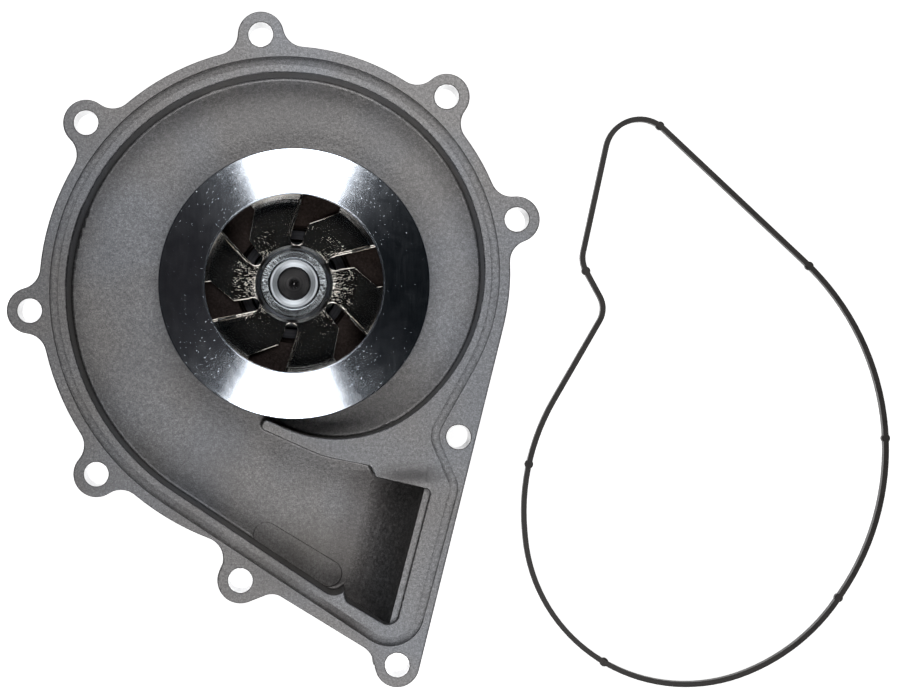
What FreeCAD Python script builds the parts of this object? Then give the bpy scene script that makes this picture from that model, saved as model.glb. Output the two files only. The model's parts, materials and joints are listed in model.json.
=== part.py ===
import FreeCAD, Part
import math
import os

os.makedirs("parts", exist_ok=True)

V = FreeCAD.Vector
UP = V(0, 0, 1)

# ---------------------------------------------------------------- frame
# Shaft axis is Z.  The engine-side joint face of the housing is z = 0 and the
# pump lies on the rear edge of its pulley.
FLOOR_Z = -86.0

# ---------------------------------------------------------------- housing
FLANGE_THICKNESS = 12.0
LUG_THICKNESS = 18.0
SHELL_BACK_Z = -27.0
SHELL_INSET = 4.5
SHELL_EDGE_RADIUS = 3.0
FLOOR_DEPTH = 22.0
FLOOR_FILLET = 1.3
SPLIT_Z = -19.6
DAIS_INNER_RADIUS = 21.5
DAIS_RADIUS = 49.0
DAIS_TOP_Z = -16.8
RIM_EDGE_RADIUS = 0.6
CAVITY_EDGE_RADIUS = 0.7

BOLT_HOLE_RADIUS = 4.5
LUG_RADIUS = 8.7
LUG_BLEND_RADIUS = 8.0
CORNER_LUG_RADIUS = 8.4
SPOT_FACE_RADIUS = 9.4
LUG_WEB_REACH = 12.0

# Seal groove: outer wall is a spiral of four tangent quarter arcs
GROOVE_WIDTH = 3.3
GROOVE_DEPTH = 3.2
GROOVE_STEP = 7.24
GROOVE_START_RADIUS = 80.9
GROOVE_CENTRE_Y = 0.66
RIM_WIDTH = 3.9

# Volute wall: the same construction, slightly faster growth
VOLUTE_STEP = 7.72
VOLUTE_START_RADIUS = 74.51
VOLUTE_CENTRE = (0.75, 0.83)

# Outlet window in the joint face, and the ramp that turns the flow up to it
WINDOW_ANGLE = 75.44
WINDOW_TOP = (51.19, -78.26)
WINDOW_FOOT_LOW = (18.94, -115.2)
WINDOW_FOOT_HIGH = (30.2, -71.8)
RAMP_RUN = 19.5
RAMP_SAG = 4.7
LEDGE_DEPTH = 2.5
LEDGE_WIDTH = 2.3
SCOOP_START = (34.0, -71.5)
SCOOP_END = (50.6, -71.8)
SCOOP_DEPTH = 0.95
SCOOP_RADIUS = 12.0
PAD_ENDS = [(-10.6, -96.2), (13.2, -110.6)]
PAD_RADIUS = 5.2
PAD_HEIGHT = 0.45

# Rear bearing boss
BOSS_RADIUS = 26.5
BOSS_END_Z = -67.6
BOSS_FLARE_Z = -31.0
BOSS_CHAMFER = 1.5
RIB_COUNT = 8
RIB_THICKNESS = 4.5
RIB_REACH = 68.0
RIB_END_Z = -50.0

# Bores, from the wet side to the rear
FACE_SEAL_BORE_RADIUS = 18.25
FACE_SEAL_BORE_END_Z = -33.0
WEEP_CHAMBER_RADIUS = 15.0
BEARING_BORE_RADIUS = 19.05
BEARING_FRONT_Z = -36.0
BEARING_REAR_Z = -65.0
SNAP_RING_THICKNESS = 1.3
SNAP_GROOVE_DEPTH = 1.0
WEEP_HOLE_RADIUS = 2.5
WEEP_HOLE_Z = -34.5
WEEP_PLUG_HEAD_RADIUS = 3.3
WEEP_PLUG_VENT_RADIUS = 0.9

# ---------------------------------------------------------------- shaft and bearing
SHAFT_RADIUS = 9.48
NOSE_RADIUS = 6.35
SEAL_SEAT_RADIUS = 7.95
TAIL_RADIUS = 8.9
SHAFT_NOSE_Z = -5.8
SHAFT_SHOULDER_Z = -34.8
SHAFT_JOURNAL_END_Z = -67.0
SHAFT_TAIL_Z = -78.2
CENTRE_DRILL_RADIUS = 1.9
RING_BORE_RADIUS = 14.53
BALL_RADIUS = 3.572
BALL_GROOVE_RADIUS = 3.65
BALL_PITCH_RADIUS = 12.15
BALL_ROW_Z = -43.2
BALL_COUNT = 8
ROLLER_RADIUS = 2.505
ROLLER_LENGTH = 10.0
ROLLER_PITCH_RADIUS = 12.005
ROLLER_ROW_Z = -56.2
ROLLER_COUNT = 11
CAGE_INNER_RADIUS = 10.7
CAGE_OUTER_RADIUS = 13.4
RUNNING_GAP = 0.05

# ---------------------------------------------------------------- impeller
IMPELLER_RADIUS = 51.1
EYE_RADIUS = 33.4
SHEET = 1.5
DISC_TOP_Z = -14.0
EXIT_WIDTH = 9.6
EYE_LIP_Z = 3.4
EYE_NECK = 2.6
NECK_FOOT_RADIUS = EYE_RADIUS + 1.2
NECK_FOOT_Z = EYE_LIP_Z - EYE_NECK + 0.4
LIP_EDGE_RADIUS = 0.55
VANE_COUNT = 6
VANE_START = (-1.09, 18.75)
VANE_ANGLE = 71.9
VANE_SHEET = 1.2
VANE_REACH = 31.5
VANE_TOE_HEIGHT = 4.8
VANE_TOE_LENGTH = 6.4
VANE_SHOULDER_LENGTH = 13.4
HUB_TOP_Z = -3.2
SHEET_EDGE_RADIUS = 0.4

# ---------------------------------------------------------------- pulley
PULLEY_RADIUS = 62.0
PULLEY_FRONT_Z = -52.0
GROOVE_PITCH = 3.56
BELT_RIBS = 8
BELT_RIB_DEPTH = 3.0
PULLEY_BORE_RADIUS = 55.6
WEB_FRONT_Z = -75.0
WEB_THICKNESS = 3.0
WEB_CONE_RADIUS = 44.0
WEB_RIM_TOP_Z = -69.0
WEB_RIM_BOTTOM_Z = -72.6
WEB_WINDOW_CIRCLE = 36.5
WEB_WINDOW_RADIUS = 4.5
WEB_WINDOW_COUNT = 4
RIM_LIP = 1.4
HUB_FLANGE_RADIUS = 29.0
HUB_FLANGE_Z = -70.0
BOLT_RADIUS = 3.0
BOLT_HEAD_RADIUS = 5.0
BOLT_HEAD_HEIGHT = 5.4
SOCKET_RADIUS = 2.9
SOCKET_DEPTH = 2.9
WASHER_RADIUS = 6.0
WASHER_THICKNESS = 1.2
BOLT_CLEARANCE_RADIUS = 3.3
PULLEY_BOLT_CIRCLE = 20.5
PULLEY_BOLT_COUNT = 4
PULLEY_SPIGOT_RADIUS = 12.0

# ---------------------------------------------------------------- loose flange seal
CORD_WIDTH = 2.1
CORD_HEIGHT = 3.9
NUB_RADIUS = 1.75
NUB_HEIGHT = 2.4
NUB_SHARES = [0.112, 0.243, 0.382, 0.515, 0.661, 0.815, 0.997]


# ================================================================ helpers
def polar(radius, degrees, centre=(0.0, 0.0)):
    a = math.radians(degrees)
    return (centre[0] + radius * math.cos(a), centre[1] + radius * math.sin(a))


def tangent_points(a, b):
    """End points of the straight run from circle a to circle b.

    A circle is (x, y, r): r > 0 is passed turning left, r < 0 turning right
    and r = 0 is a sharp corner.
    """
    dx = b[0] - a[0]
    dy = b[1] - a[1]
    span = math.hypot(dx, dy)
    ratio = max(-1.0, min(1.0, (b[2] - a[2]) / span))
    heading = math.atan2(dy, dx) - math.asin(ratio)
    nx = -math.sin(heading)
    ny = math.cos(heading)
    return (a[0] - a[2] * nx, a[1] - a[2] * ny), (b[0] - b[2] * nx, b[1] - b[2] * ny)


def outline(circles, z):
    """Closed wire that runs round the circles like a belt."""
    count = len(circles)
    runs = [tangent_points(circles[i], circles[(i + 1) % count]) for i in range(count)]
    for i in range(count):
        if math.dist(runs[i][0], runs[i][1]) < 2e-3:
            runs[i] = (runs[i][0], runs[i][0])
    edges = []
    for i in range(count):
        cx, cy, r = circles[i]
        start = runs[i - 1][1]
        end = runs[i][0]
        if abs(r) > 1e-6 and math.dist(start, end) > 1e-4:
            a0 = math.atan2(start[1] - cy, start[0] - cx)
            a1 = math.atan2(end[1] - cy, end[0] - cx)
            sweep = (a1 - a0) % (2 * math.pi) if r > 0 else -((a0 - a1) % (2 * math.pi))
            mid = a0 + sweep / 2
            top = V(cx + abs(r) * math.cos(mid), cy + abs(r) * math.sin(mid), z)
            edges.append(Part.Arc(V(*start, z), top, V(*end, z)).toShape())
        if math.dist(*runs[i]) > 1e-4:
            edges.append(Part.LineSegment(V(*runs[i][0], z), V(*runs[i][1], z)).toShape())
    return Part.Wire(edges)


def offset(circles, distance):
    """The same outline moved outwards (or inwards when negative)."""
    return [(x, y, r + distance) for x, y, r in circles]


def prism(circles, z_top, z_bottom):
    return Part.Face(outline(circles, z_top)).extrude(V(0, 0, z_bottom - z_top))


def polygon(points):
    return Part.Face(Part.makePolygon([V(*p) for p in points + points[:1]]))


def turned(profile):
    """Solid of revolution about Z from (radius, z) corners."""
    return polygon([(r, 0, z) for r, z in profile]).revolve(V(0, 0, 0), UP, 360)


def ring(r_in, r_out, z_top, z_bottom):
    return turned([(r_in, z_top), (r_out, z_top), (r_out, z_bottom), (r_in, z_bottom)])


def cylinder(x, y, radius, z_top, z_bottom):
    return Part.makeCylinder(radius, z_top - z_bottom, V(x, y, z_bottom))


def spun(shape, degrees):
    copy = shape.copy()
    copy.rotate(V(0, 0, 0), UP, degrees)
    return copy


def spin_copies(shape, count, start=0.0):
    return [spun(shape, start + 360.0 * i / count) for i in range(count)]


def joined(shapes):
    return shapes[0].fuse(shapes[1:]).removeSplitter()


def save(name, shape):
    shape.exportStep("parts/" + name + ".step")


# ================================================================ outlines
def spiral(step, start_radius, cx, cy):
    """Quarter-arc circles of a growing spiral: quadrants 4, 1, 2 and 3."""
    h = step / 2
    return [
        (cx + h, cy + h, start_radius - step),
        (cx - h, cy + h, start_radius),
        (cx - h, cy - h, start_radius + step),
        (cx + h, cy - h, start_radius + 2 * step),
    ]


def groove_outline():
    q4, q1, q2, q3 = spiral(GROOVE_STEP, GROOVE_START_RADIUS, 0.0, GROOVE_CENTRE_Y)
    tip = (35.87, -123.02, 13.1)
    knuckle = (53.79, -76.68, 7.84)
    waist = (61.49, -57.34, -6.87)
    return [q1, q2, q3, tip, knuckle, waist, q4]


LUGS = [
    polar(86.9, 16.0),
    polar(90.4, 50.7),
    polar(94.1, 97.6),
    polar(98.5, 142.3),
    polar(99.6, 185.9),
    polar(103.0, 224.0),
    (-20.1, -111.4),
]
CORNER_LUG = (38.7, -143.1)
WAIST_HOLE = (61.7, -57.6)


def blend(rim, lug, side):
    """Hollow corner circle tangent to the rim arc and to a lug."""
    f = LUG_BLEND_RADIUS
    reach = rim[2] + f
    near = LUG_RADIUS + f
    dx = lug[0] - rim[0]
    dy = lug[1] - rim[1]
    span = math.hypot(dx, dy)
    along = (reach ** 2 - near ** 2 + span ** 2) / (2 * span)
    across = math.sqrt(reach ** 2 - along ** 2) * side
    ux = dx / span
    uy = dy / span
    return (rim[0] + along * ux - across * uy, rim[1] + along * uy + across * ux, -f)


def rim_core():
    q1, q2, q3, tip = offset(groove_outline(), RIM_WIDTH)[:4]
    side_radius = 131.7
    side_x, side_y = polar(q1[2] - side_radius, -12.7, q1)
    return [q1, q2, q3, tip, (side_x, side_y, side_radius)]


def flange_outline():
    q1, q2, q3, _, right_side = rim_core()
    before = [q1, q1, q1, q2, q2, q3, q3]
    after = [q1, q1, q2, q2, q3, q3, None]
    circles = [right_side]
    for lug, rim_before, rim_after in zip(LUGS, before, after):
        if circles[-1][:2] != rim_before[:2]:
            circles.append(rim_before)
        circles.append(blend(rim_before, lug, -1))
        circles.append((lug[0], lug[1], LUG_RADIUS))
        if rim_after:
            circles.append(blend(rim_after, lug, 1))
    circles.append((-8.3, -123.2, -6.6))
    circles.append((21.9, -143.3, -8.0))
    circles.append((CORNER_LUG[0], CORNER_LUG[1], CORNER_LUG_RADIUS))
    return circles


def volute_outline():
    """Deep part of the cavity: volute and duct up to the foot of the ramp."""
    q4, q1, q2, q3 = spiral(VOLUTE_STEP, VOLUTE_START_RADIUS, *VOLUTE_CENTRE)
    throat_radius = 47.6
    throat_x, throat_y = polar(q4[2] - throat_radius, -54.2, q4)
    tongue_tip = (-10.3, -53.5, -1.9)
    tongue_bend = (22.0, -30.0, -36.5)
    tongue_end = (27.6, -69.8, 1.5)
    duct_corner = (15.0, -111.84, 5.0)
    return [
        q1, q2, q3, duct_corner,
        (*WINDOW_FOOT_LOW, 0.0), (*WINDOW_FOOT_HIGH, 0.0),
        tongue_end, tongue_bend, tongue_tip,
        (throat_x, throat_y, throat_radius), q4,
    ]


def window_outline():
    return [
        (*WINDOW_FOOT_LOW, 0.0), (22.5, -117.3, 3.2), (35.25, -124.0, 3.9),
        (49.2, -78.8, 1.8), (31.07, -71.98, -0.8), (*WINDOW_FOOT_HIGH, 0.0),
    ]


def flange_seal_outline():
    """Centre line of the loose ring as it lies relaxed beside the pump."""
    middle_x = 165.2
    middle_y = -62.0
    right = (-29.37, -3.52, 104.36)
    tip = (-24.96, 116.47, 13.95)
    knuckle = (-37.34, 74.11, 10.84)
    waist = (-49.84, 53.57, -9.92)
    left = (18.09, -28.83, 90.12)
    low = (-6.38, -33.74, 65.31)
    corner = (-11.52, -19.03, 80.87)
    bends = [right, tip, knuckle, waist, left, low, corner]
    return [(middle_x + x, middle_y + y, r) for x, y, r in bends]


# ================================================================ housing
def ramp_channel():
    """Material removed above the outlet ramp, trimmed to the window."""
    a = math.radians(WINDOW_ANGLE)
    along = V(math.cos(a), math.sin(a), 0)
    out = V(math.sin(a), -math.cos(a), 0)
    origin = V(WINDOW_TOP[0], WINDOW_TOP[1], 0) + along * 12

    def at(u, z):
        return origin + out * u + UP * z

    foot = -LEDGE_WIDTH - RAMP_RUN
    half = RAMP_RUN / 2
    drop = RAMP_SAG * math.sqrt(0.5)
    arc = Part.Arc(
        at(foot, -FLOOR_DEPTH),
        at(foot + half + drop, -LEDGE_DEPTH - half - drop),
        at(-LEDGE_WIDTH, -LEDGE_DEPTH),
    ).toShape()
    rest = [
        at(-LEDGE_WIDTH, -LEDGE_DEPTH), at(6, -LEDGE_DEPTH), at(6, 1),
        at(foot - 8, 1), at(foot - 8, -FLOOR_DEPTH), at(foot, -FLOOR_DEPTH),
    ]
    section = Part.Face(Part.Wire([arc, Part.makePolygon(rest)]))
    sweep = section.extrude(along * -80)
    return prism(window_outline(), 1.0, -FLOOR_DEPTH).common(sweep)


def volute_cavity():
    cavity = prism(volute_outline(), 1.0, -FLOOR_DEPTH)
    foot_x = (WINDOW_FOOT_LOW[0] + WINDOW_FOOT_HIGH[0]) / 2
    foot_y = (WINDOW_FOOT_LOW[1] + WINDOW_FOOT_HIGH[1]) / 2
    floor_edges = [
        e for e in cavity.Edges
        if abs(e.BoundBox.ZMax + FLOOR_DEPTH) < 1e-6
        and math.hypot(e.CenterOfMass.x - foot_x, e.CenterOfMass.y - foot_y) > 1.0
    ]
    return cavity.makeFillet(FLOOR_FILLET, floor_edges)


def duct_pad():
    """Low cast thickening along the outer wall of the duct."""
    pad_top = PAD_HEIGHT - FLOOR_DEPTH
    pad = prism([(x, y, PAD_RADIUS) for x, y in PAD_ENDS], pad_top, -FLOOR_DEPTH - 1.0)
    top = [e for e in pad.Edges if abs(e.BoundBox.ZMin - pad_top) < 1e-6]
    return pad.makeFillet(0.95 * PAD_HEIGHT, top)


def rear_rib():
    z = SHELL_BACK_Z + 1.0
    root = BOSS_RADIUS - 6.5
    corners = [
        (root, z), (RIB_REACH, z), (RIB_REACH - 2, z - 4.5),
        (BOSS_RADIUS + 1, RIB_END_Z), (root, RIB_END_Z),
    ]
    blade = polygon([(r, -RIB_THICKNESS / 2, zz) for r, zz in corners])
    return blade.extrude(V(0, RIB_THICKNESS, 0))


def lug_post(lug):
    """Boss under the flange with a web back to the shell."""
    x, y = lug
    post = cylinder(x, y, LUG_RADIUS, -1.0, -LUG_THICKNESS)
    angle = math.degrees(math.atan2(y, x))
    corner = V(-LUG_WEB_REACH, -0.75 * LUG_RADIUS, 0)
    web = Part.makeBox(LUG_WEB_REACH, 1.5 * LUG_RADIUS, LUG_THICKNESS - 1, corner)
    web.rotate(V(0, 0, 0), UP, angle)
    web.translate(V(x, y, -LUG_THICKNESS))
    return post.fuse(web)


def casting_outside():
    flange = prism(flange_outline(), 0.0, -FLANGE_THICKNESS)
    front = [e for e in flange.Edges if e.BoundBox.ZMin > -1e-6]
    flange = flange.makeFillet(RIM_EDGE_RADIUS, front)
    shell = prism(offset(rim_core(), -SHELL_INSET), -1.0, SHELL_BACK_Z)
    back = [e for e in shell.Edges if abs(e.BoundBox.ZMax - SHELL_BACK_Z) < 1e-6]
    shell = shell.makeFillet(SHELL_EDGE_RADIUS, back)
    posts = [lug_post(lug) for lug in LUGS[:-1]]
    posts.append(cylinder(*LUGS[-1], LUG_RADIUS, -1.0, -LUG_THICKNESS))
    posts.append(cylinder(*CORNER_LUG, CORNER_LUG_RADIUS, -1.0, -LUG_THICKNESS))
    waist_post = cylinder(*WAIST_HOLE, LUG_RADIUS, -1.0, -LUG_THICKNESS)
    posts.append(waist_post.common(prism(flange_outline(), 0.0, -LUG_THICKNESS)))
    web_corner = V(-LUG_WEB_REACH / 2, 0, -LUG_THICKNESS)
    lower_web = Part.makeBox(LUG_WEB_REACH, LUG_WEB_REACH, LUG_THICKNESS - 1, web_corner)
    posts.append(lower_web.translated(V(LUGS[-1][0], LUGS[-1][1], 0)))
    posts.append(lower_web.translated(V(CORNER_LUG[0] - 3, CORNER_LUG[1], 0)))
    boss = turned([
        (0, SHELL_BACK_Z + 1), (BOSS_RADIUS + 4, SHELL_BACK_Z + 1),
        (BOSS_RADIUS + 1, BOSS_FLARE_Z), (BOSS_RADIUS, BOSS_END_Z + BOSS_CHAMFER),
        (BOSS_RADIUS - BOSS_CHAMFER, BOSS_END_Z), (0, BOSS_END_Z),
    ])
    ribs = spin_copies(rear_rib(), RIB_COUNT, 22.5)
    spot_face = cylinder(*WAIST_HOLE, SPOT_FACE_RADIUS, -LUG_THICKNESS, SHELL_BACK_Z - 1)
    return joined([flange, shell, boss] + posts + ribs).cut(spot_face)


def casting():
    holes = [
        cylinder(x, y, BOLT_HOLE_RADIUS, 1.0, -LUG_THICKNESS - 3)
        for x, y in LUGS + [CORNER_LUG, WAIST_HOLE]
    ]
    bore = turned([
        (0, 1), (FACE_SEAL_BORE_RADIUS, 1), (FACE_SEAL_BORE_RADIUS, FACE_SEAL_BORE_END_Z),
        (WEEP_CHAMBER_RADIUS, FACE_SEAL_BORE_END_Z), (WEEP_CHAMBER_RADIUS, BEARING_FRONT_Z),
        (BEARING_BORE_RADIUS, BEARING_FRONT_Z), (BEARING_BORE_RADIUS, BEARING_REAR_Z),
        (BEARING_BORE_RADIUS + SNAP_GROOVE_DEPTH, BEARING_REAR_Z),
        (BEARING_BORE_RADIUS + SNAP_GROOVE_DEPTH, BEARING_REAR_Z - SNAP_RING_THICKNESS),
        (BEARING_BORE_RADIUS, BEARING_REAR_Z - SNAP_RING_THICKNESS),
        (BEARING_BORE_RADIUS, BOSS_END_Z - 1), (0, BOSS_END_Z - 1),
    ])
    weep = Part.makeCylinder(WEEP_HOLE_RADIUS, 40, V(0, -12, WEEP_HOLE_Z), V(0, -1, 0))
    body = casting_outside().cut([volute_cavity(), ramp_channel(), bore, weep] + holes)
    pad = duct_pad().common(prism(volute_outline(), 0.0, -FLOOR_DEPTH - 1.0))
    dais = ring(DAIS_INNER_RADIUS, DAIS_RADIUS, DAIS_TOP_Z, -FLOOR_DEPTH - 0.5)
    dais = dais.makeChamfer(1.0, [e for e in dais.Edges if e.BoundBox.ZMin > DAIS_TOP_Z - 0.01])
    return body.fuse([pad, dais]).removeSplitter()


def front_edges(body):
    """Edges where the cavity and the window open in the joint face."""
    loops = []
    for face in body.Faces:
        box = face.BoundBox
        if box.ZMin > -1e-6 and box.ZMax < 1e-6:
            loops += [w for w in face.Wires if 60 < w.BoundBox.XLength < 190]
    return [e for w in loops for e in w.Edges]


def window_scoop():
    """Shallow relief in the joint face that deepens towards the window corner."""
    run = SCOOP_END[0] - SCOOP_START[0]
    start = V(*SCOOP_START, SCOOP_RADIUS)
    tilt = V(run, SCOOP_END[1] - SCOOP_START[1], -SCOOP_DEPTH)
    return Part.makeCylinder(SCOOP_RADIUS, run, start, tilt)


def groove_channel():
    groove = groove_outline()
    inside = prism(offset(groove, -GROOVE_WIDTH), 1.0, -GROOVE_DEPTH)
    return prism(groove, 1.0, -GROOVE_DEPTH).cut(inside)


def split_casting():
    """The casting in three fitting solids: walls with the flange, outlet ramp, back."""
    body = casting()
    body = body.makeFillet(CAVITY_EDGE_RADIUS, front_edges(body)).cut(window_scoop())
    half = 200.0
    front_block = Part.makeBox(2 * half, 2 * half, 50, V(-half, -half, SPLIT_Z))
    back_block = Part.makeBox(2 * half, 2 * half, 100, V(-half, -half, SPLIT_Z - 100))
    dais_block = cylinder(0, 0, DAIS_RADIUS + 1.0, DAIS_TOP_Z + 1.0, SPLIT_Z - 1.0)
    front = body.common(front_block).cut([groove_channel(), dais_block])
    ramp_block = prism(window_outline(), -LEDGE_DEPTH, SPLIT_Z)
    rear = body.common(back_block.fuse(dais_block))
    return front.cut(ramp_block), front.common(ramp_block), rear


walls, ramp, back = split_casting()
save("pump_housing", walls)
save("outlet_ramp", ramp)
save("housing_back", back)


# ================================================================ shaft bearing
def torus(ring_radius, section_radius, z):
    return Part.makeTorus(ring_radius, section_radius, V(0, 0, z), UP)


outer_ring = ring(RING_BORE_RADIUS, BEARING_BORE_RADIUS, BEARING_FRONT_Z, BEARING_REAR_Z)
save("bearing_outer_ring", outer_ring.cut(torus(BALL_PITCH_RADIUS, BALL_GROOVE_RADIUS, BALL_ROW_Z)))


def snap_ring():
    """Internal retaining ring with its gap and two plier ears."""
    top = BEARING_REAR_Z - 0.05
    bottom = BEARING_REAR_Z - SNAP_RING_THICKNESS + 0.05
    outer = BEARING_BORE_RADIUS + SNAP_GROOVE_DEPTH - 0.15
    band = ring(BEARING_BORE_RADIUS - 1.6, outer, top, bottom)
    gap = Part.makeBox(30, 5.0, 5, V(0, -2.5, bottom - 2))
    spots = [polar(BEARING_BORE_RADIUS - 2.2, 12.5 * side) for side in (-1, 1)]
    ears = [cylinder(x, y, 1.9, top, bottom) for x, y in spots]
    eyes = [cylinder(x, y, 0.8, top + 1, bottom - 1) for x, y in spots]
    body = joined([band.cut(gap)] + ears)
    trimmed = body.common(cylinder(0, 0, BEARING_BORE_RADIUS - 0.1, top, bottom)).fuse(band.cut(gap))
    return trimmed.cut(eyes).removeSplitter()


save("bearing_snap_ring", snap_ring())


def bearing_seal(face_z, inward):
    """Shaft seal pressed into one end of the outer ring."""
    step = inward
    lip = SHAFT_RADIUS + RUNNING_GAP
    return turned([
        (RING_BORE_RADIUS, face_z + 0.4 * step), (RING_BORE_RADIUS, face_z + 2.2 * step),
        (RING_BORE_RADIUS - 1.6, face_z + 2.2 * step), (lip + 1.2, face_z + 1.5 * step),
        (lip + 0.5, face_z + 2.6 * step), (lip, face_z + 2.6 * step),
        (lip, face_z + 1.9 * step), (lip + 0.6, face_z + 0.7 * step),
    ])


save("bearing_seal_front", bearing_seal(BEARING_FRONT_Z, -1.0))
save("bearing_seal_rear", bearing_seal(BEARING_REAR_Z, 1.0))

ball = Part.makeSphere(BALL_RADIUS, V(BALL_PITCH_RADIUS, 0, BALL_ROW_Z))
save("bearing_balls", Part.makeCompound(spin_copies(ball, BALL_COUNT)))

ball_pocket = Part.makeCylinder(BALL_GROOVE_RADIUS, 8, V(8, 0, BALL_ROW_Z), V(1, 0, 0))
ball_band = ring(CAGE_INNER_RADIUS, CAGE_OUTER_RADIUS, BALL_ROW_Z + 4.4, BALL_ROW_Z - 4.4)
save("ball_cage", ball_band.cut(spin_copies(ball_pocket, BALL_COUNT)))

roller = cylinder(
    ROLLER_PITCH_RADIUS, 0, ROLLER_RADIUS,
    ROLLER_ROW_Z + ROLLER_LENGTH / 2, ROLLER_ROW_Z - ROLLER_LENGTH / 2,
)
roller = roller.makeFillet(0.4, [e for e in roller.Edges if e.Curve.TypeId == "Part::GeomCircle"])
save("bearing_rollers", Part.makeCompound(spin_copies(roller, ROLLER_COUNT)))

roller_pocket = cylinder(
    ROLLER_PITCH_RADIUS, 0, ROLLER_RADIUS + 0.07,
    ROLLER_ROW_Z + ROLLER_LENGTH / 2 + 0.1, ROLLER_ROW_Z - ROLLER_LENGTH / 2 - 0.1,
)
roller_band = ring(
    CAGE_INNER_RADIUS, CAGE_OUTER_RADIUS,
    ROLLER_ROW_Z + ROLLER_LENGTH / 2 + 1.3, ROLLER_ROW_Z - ROLLER_LENGTH / 2 - 1.3,
)
save("roller_cage", roller_band.cut(spin_copies(roller_pocket, ROLLER_COUNT)))


# ================================================================ shaft
def pump_shaft():
    nose = SHAFT_NOSE_Z
    body = turned([
        (0, nose), (NOSE_RADIUS - 0.6, nose), (NOSE_RADIUS, nose - 0.6),
        (NOSE_RADIUS, DISC_TOP_Z - 3.0), (SEAL_SEAT_RADIUS, DISC_TOP_Z - 3.0),
        (SEAL_SEAT_RADIUS, SHAFT_SHOULDER_Z), (SHAFT_RADIUS, SHAFT_SHOULDER_Z),
        (SHAFT_RADIUS, SHAFT_JOURNAL_END_Z), (TAIL_RADIUS, SHAFT_JOURNAL_END_Z - 0.6),
        (TAIL_RADIUS, SHAFT_TAIL_Z + 0.8), (TAIL_RADIUS - 0.8, SHAFT_TAIL_Z), (0, SHAFT_TAIL_Z),
    ])
    centre_drill = turned([
        (0, nose + 1), (CENTRE_DRILL_RADIUS, nose + 1), (CENTRE_DRILL_RADIUS, nose),
        (0, nose - CENTRE_DRILL_RADIUS),
    ])
    return body.cut([torus(BALL_PITCH_RADIUS, BALL_GROOVE_RADIUS, BALL_ROW_Z), centre_drill])


save("pump_shaft", pump_shaft())


# ================================================================ face seal
CASE_TOP_Z = -FLOOR_DEPTH + 1.1
SEAL_FACE_Z = -24.6
MATING_RING_TOP_Z = -20.9
CARBON_END_Z = -26.4
RETAINER_END_Z = -27.2
CASE_BOTTOM_Z = -32.8
CASE_WALL = 0.9

save("face_seal_case", turned([
    (FACE_SEAL_BORE_RADIUS - CASE_WALL, CASE_TOP_Z), (20.6, CASE_TOP_Z), (20.6, -FLOOR_DEPTH),
    (FACE_SEAL_BORE_RADIUS, -FLOOR_DEPTH), (FACE_SEAL_BORE_RADIUS, CASE_BOTTOM_Z),
    (9.6, CASE_BOTTOM_Z), (9.6, -29.2), (9.6 + CASE_WALL, -29.2),
    (9.6 + CASE_WALL, CASE_BOTTOM_Z + CASE_WALL),
    (FACE_SEAL_BORE_RADIUS - CASE_WALL, CASE_BOTTOM_Z + CASE_WALL),
]))
save("face_seal_carbon", turned([
    (9.6, SEAL_FACE_Z - 0.03), (12.2, SEAL_FACE_Z - 0.03), (12.2, SEAL_FACE_Z - 0.9),
    (14.2, SEAL_FACE_Z - 0.9), (14.2, CARBON_END_Z), (9.6, CARBON_END_Z),
]))
save("face_seal_retainer", turned([
    (10.8, CARBON_END_Z), (14.2, CARBON_END_Z), (14.2, -25.4), (14.8, -25.4),
    (14.8, CARBON_END_Z), (16.6, CARBON_END_Z), (16.6, RETAINER_END_Z), (10.8, RETAINER_END_Z),
]))
save("face_seal_bellows", turned([
    (11.0, RETAINER_END_Z), (13.6, RETAINER_END_Z), (13.6, -28.0), (12.4, -28.4),
    (12.4, -29.4), (13.4, -29.9), (13.4, -30.9), (12.2, -31.3), (12.2, CASE_BOTTOM_Z + CASE_WALL),
    (10.5, CASE_BOTTOM_Z + CASE_WALL), (10.5, -31.1), (12.2, -30.4), (11.4, -29.9),
    (11.4, -28.4), (11.0, -28.0),
]))


def seal_spring():
    wire = 0.45
    bottom = CASE_BOTTOM_Z + CASE_WALL + wire
    top = RETAINER_END_Z - wire
    rise = top - bottom
    helix = Part.makeHelix(rise / 2.5, rise, 15.2)
    section = Part.Wire(Part.makeCircle(wire, V(15.2, 0, 0), V(0, 1, 0)))
    coil = Part.Wire(helix).makePipeShell([section], True, True)
    coil.translate(V(0, 0, bottom))
    return coil


save("face_seal_spring", seal_spring())

save("mating_ring", ring(9.3, 14.0, MATING_RING_TOP_Z - 0.5, SEAL_FACE_Z))
save("mating_ring_cup", turned([
    (SEAL_SEAT_RADIUS, MATING_RING_TOP_Z), (14.0, MATING_RING_TOP_Z),
    (14.0, MATING_RING_TOP_Z - 0.5), (9.3, MATING_RING_TOP_Z - 0.5),
    (9.3, SEAL_FACE_Z + 0.3), (SEAL_SEAT_RADIUS, SEAL_FACE_Z + 0.3),
]))
save("slinger", turned([
    (SEAL_SEAT_RADIUS, -33.3), (9.1, -33.3), (9.1, -33.9), (13.6, -34.2),
    (13.6, -34.7), (SEAL_SEAT_RADIUS, -34.7),
]))


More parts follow.
